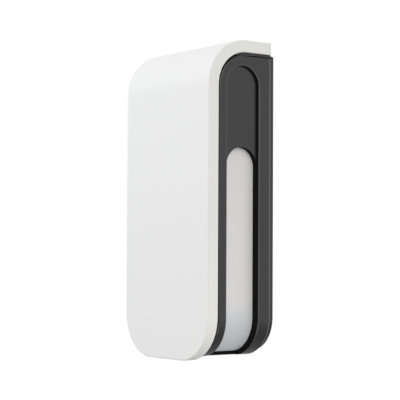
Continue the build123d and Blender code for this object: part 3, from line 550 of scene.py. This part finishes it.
# %% [markdown]
# ## Filter, indicator and board
# The sensor's filter is a dark mirror-like wafer, and the indicator is cast in red resin. The printed board
# has copper tracks under its green coat: two brick patterns make a field of straight lines, one along and
# one across, and small round cells of a Voronoi texture make the tinned pads.

# %% Filter and indicator
HAZE_GLOSS = 0.08


def hazy(name, size, darker, lighter, roughness, **constants):
    """A smooth piece whose colour and gloss change with one haze."""
    finish = Finish(name, **constants)
    haze = finish.noise(size)
    finish.feed(Base_Color=finish.mix(haze, darker, lighter), Roughness=roughness + HAZE_GLOSS * haze)
    return finish.material


finishes["filter_silicon"] = hazy(
    "dark_filter_wafer",
    size=0.8 * MM,
    darker=shade(0.03, 0.03, 0.04),
    lighter=shade(0.055, 0.05, 0.07),
    roughness=0.12,
    Specular_IOR_Level=0.9,
)
finishes["led_resin"] = hazy(
    "red_resin",
    size=0.7 * MM,
    darker=shade(0.45, 0.02, 0.015),
    lighter=shade(0.62, 0.04, 0.03),
    roughness=0.14,
    Transmission_Weight=0.35,
    IOR=1.5,
)
print("filter and indicator:", [finishes[slot].name for slot in ("filter_silicon", "led_resin")])

# %% Board
TRACK_PITCH = 2.0 * MM
TRACK_WIDTH = 0.25 * MM
LONG_RUN = (9 * TRACK_PITCH, TRACK_PITCH)
CROSS_RUN = (1.5 * TRACK_PITCH, 7 * TRACK_PITCH)
COPPER_DEPTH = 0.03 * MM
PAD_SPACING = 5.0 * MM
PAD_SCATTER = 0.6
PAD_RADIUS = 0.16
PAD_METAL = 0.9
COAT_ROUGHNESS = 0.32
TRACK_GLOSS = 0.06
BOARD_COAT = shade(0.012, 0.11, 0.045)
BOARD_TRACK = shade(0.022, 0.17, 0.07)
PAD_TIN = shade(0.7, 0.7, 0.68)


def track_lines(finish, flat, run):
    """1 on the joints of a brick pattern, which are straight and thin as tracks are."""
    width, height = run
    bricks = {"Vector": flat, "Scale": 1.0, "Brick Width": width, "Row Height": height}
    return finish.add("TexBrick", values={**bricks, "Mortar Size": TRACK_WIDTH}, output="Fac")


def solder_pads(finish, flat):
    spots = {"Vector": flat, "Scale": 1 / PAD_SPACING, "Randomness": PAD_SCATTER}
    return finish.add("TexVoronoi", values=spots) < PAD_RADIUS


def green_board():
    finish = Finish("green_board")
    upright = (math.radians(90), 0, 0)
    flat = finish.add("Mapping", values={"Vector": finish.place(), "Rotation": upright})
    track = track_lines(finish, flat, LONG_RUN).larger(track_lines(finish, flat, CROSS_RUN))
    pad = solder_pads(finish, flat)
    coat = finish.mix(track, BOARD_COAT, BOARD_TRACK)
    finish.feed(
        Base_Color=finish.mix(pad, coat, PAD_TIN),
        Metallic=pad * PAD_METAL,
        Roughness=COAT_ROUGHNESS - TRACK_GLOSS * track,
        Normal=finish.bump(track.larger(pad), COPPER_DEPTH),
    )
    return finish.material


finishes["board_green"] = green_board()
print("board tracks every", TRACK_PITCH / MM, "mm")

# %% [markdown]
# ## Painting the frame
# Each CAD node names its material slot in the record. The node's mesh is left as it is, and only the
# material in its slot changes.

# %% Paint the CAD nodes
def paint_frame():
    for row in frame["record"]["subparts"]:
        mesh = frame["nodes"][row["node"]].data
        mesh.materials.clear()
        mesh.materials.append(finishes[row["material_slot"]])


paint_frame()

# %% [markdown]
# ## Printed numbers
# When the cover is up, the fitter sees numbered terminals, numbered function switches, and four numbered
# places round each range dial. Blender's own font gives the figures. They are turned into a mesh first, then
# placed, so that the finished object sits at the origin as the CAD nodes do. They are thin ink, five
# hundredths of a millimetre proud, and they reach a little into the face so that no gap shows.

# %% Printed numbers
INK_HEIGHT = 0.05 * MM
INK_SINK = 0.02 * MM
CURVE_STEPS = 3
WELD_DISTANCE = INK_SINK / 10


def figure_mesh(text, size):
    """The outline of a short text as a mesh in X and Y, centred, with the ink's thickness."""
    curve = bpy.data.curves.new("figure", "FONT")
    curve.body = text
    curve.size = size
    curve.align_x = "CENTER"
    curve.align_y = "CENTER"
    curve.extrude = (INK_HEIGHT + INK_SINK) / 2
    curve.resolution_u = CURVE_STEPS
    stand_in = bpy.data.objects.new("figure", curve)
    mesh = bpy.data.meshes.new_from_object(stand_in)
    bpy.data.objects.remove(stand_in)
    bpy.data.curves.remove(curve)
    return mesh


def finished(name, shape, slot, body):
    """A bmesh as an object at the origin that rides on a body and takes a slot's finish."""
    mesh = bpy.data.meshes.new(name)
    shape.to_mesh(mesh)
    shape.free()
    mesh.materials.append(finishes[slot])
    piece = bpy.data.objects.new(name, mesh)
    bpy.context.scene.collection.objects.link(piece)
    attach(piece, body)
    return piece


def printed(name, figures, size, front):
    """Figures on a face that looks to the front, each at its own X and Z."""
    shape = bmesh.new()
    upright = Matrix.Rotation(math.radians(90), 4, "X")
    ink_middle = front - (INK_HEIGHT - INK_SINK) / 2
    for text, x, z in figures:
        mesh = figure_mesh(text, size)
        mesh.transform(Matrix.Translation((x, ink_middle, z)) @ upright)
        shape.from_mesh(mesh)
        bpy.data.meshes.remove(mesh)
    bmesh.ops.remove_doubles(shape, verts=shape.verts, dist=WELD_DISTANCE)
    bmesh.ops.recalc_face_normals(shape, faces=shape.faces)
    return finished(name, shape, "slider_plastic", "unit")


def middle(node):
    low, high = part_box(node)
    return (low + high) / 2


print("ink stands", INK_HEIGHT / MM, "mm proud")

# %% Places of the numbers
DECK_FRONT = -44.3 * MM
SWITCH_SIZE = 1.5 * MM
SWITCH_COUNT = 6
SWITCH_RISE = 1.0 * MM
ON_INSET = 1.9 * MM
ON_DROP = 0.95 * MM
TERMINAL_SIZE = 2.6 * MM
TERMINAL_COUNT = 9
TERMINAL_DROP = 3.2 * MM
DIAL_SIZE = 2.2 * MM
DIAL_GAP = 2.0 * MM
DIAL_PLACES = {"1": (0, 1), "2": (1, 0), "3": (0, -1), "4": (-1, 0)}


def switch_figures():
    low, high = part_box("dip_switch_body")
    numbers = range(1, SWITCH_COUNT + 1)
    rows = [(str(n), middle(f"dip_slider_{n}").x, low.z + SWITCH_RISE) for n in numbers]
    rows.append(("ON", low.x + ON_INSET, high.z - ON_DROP))
    return rows


def terminal_figures():
    low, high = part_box("terminal_block")
    pitch = (high.x - low.x) / TERMINAL_COUNT
    numbers = range(TERMINAL_COUNT)
    return [(str(n + 1), low.x + (n + 0.5) * pitch, low.z - TERMINAL_DROP) for n in numbers]


def dial_figures():
    rows = []
    for side in ("left", "right"):
        low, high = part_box(f"range_switch_{side}")
        centre = (low + high) / 2
        reach = (high - low) / 2
        for text, (right, up) in DIAL_PLACES.items():
            x = centre.x + right * (reach.x + DIAL_GAP)
            z = centre.z + up * (reach.z + DIAL_GAP)
            rows.append((text, x, z))
    return rows


switch_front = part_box("dip_switch_body")[0].y
prints = [
    printed("switch_figures", switch_figures(), SWITCH_SIZE, switch_front),
    printed("terminal_figures", terminal_figures(), TERMINAL_SIZE, DECK_FRONT),
    printed("dial_figures", dial_figures(), DIAL_SIZE, DECK_FRONT),
]
print("printed faces:", {piece.name: len(piece.data.polygons) for piece in prints})

# %% [markdown]
# ## Screw thread
# The lock screw's shank is plain in the CAD model. A real one has a rolled thread, so a small three-sided
# ridge is spun up the shank, one turn for each pitch. It stays inside the nut's plain bore, so the nut rides
# over it and touches nothing.

# %% Screw thread
THREAD_PITCH = 0.45 * MM
THREAD_LOW = -88.9 * MM
THREAD_HIGH = -86.3 * MM
THREAD_STEPS = 20
SHANK_RADIUS = 1.25 * MM
RIDGE_HEIGHT = 0.04 * MM
RIDGE_HALF = 0.14 * MM
RIDGE_SINK = 0.05 * MM


def thread_ridge():
    axis = middle("cover_lock_screw")
    shape = bmesh.new()
    corners = (
        (SHANK_RADIUS - RIDGE_SINK, -RIDGE_HALF),
        (SHANK_RADIUS + RIDGE_HEIGHT, 0),
        (SHANK_RADIUS - RIDGE_SINK, RIDGE_HALF),
    )
    profile = [shape.verts.new((axis.x + out, axis.y, THREAD_LOW + rise)) for out, rise in corners]
    start = shape.faces.new(profile)
    turns = int((THREAD_HIGH - THREAD_LOW) / THREAD_PITCH)
    bmesh.ops.spin(
        shape,
        geom=[start],
        cent=(axis.x, axis.y, 0),
        axis=(0, 0, 1),
        dvec=(0, 0, THREAD_PITCH / THREAD_STEPS),
        angle=2 * math.pi * turns,
        steps=turns * THREAD_STEPS,
    )
    bmesh.ops.recalc_face_normals(shape, faces=shape.faces)
    return finished("lock_screw_thread", shape, "zinc_steel", "lock_screw")


thread = thread_ridge()
print("thread faces:", len(thread.data.polygons))
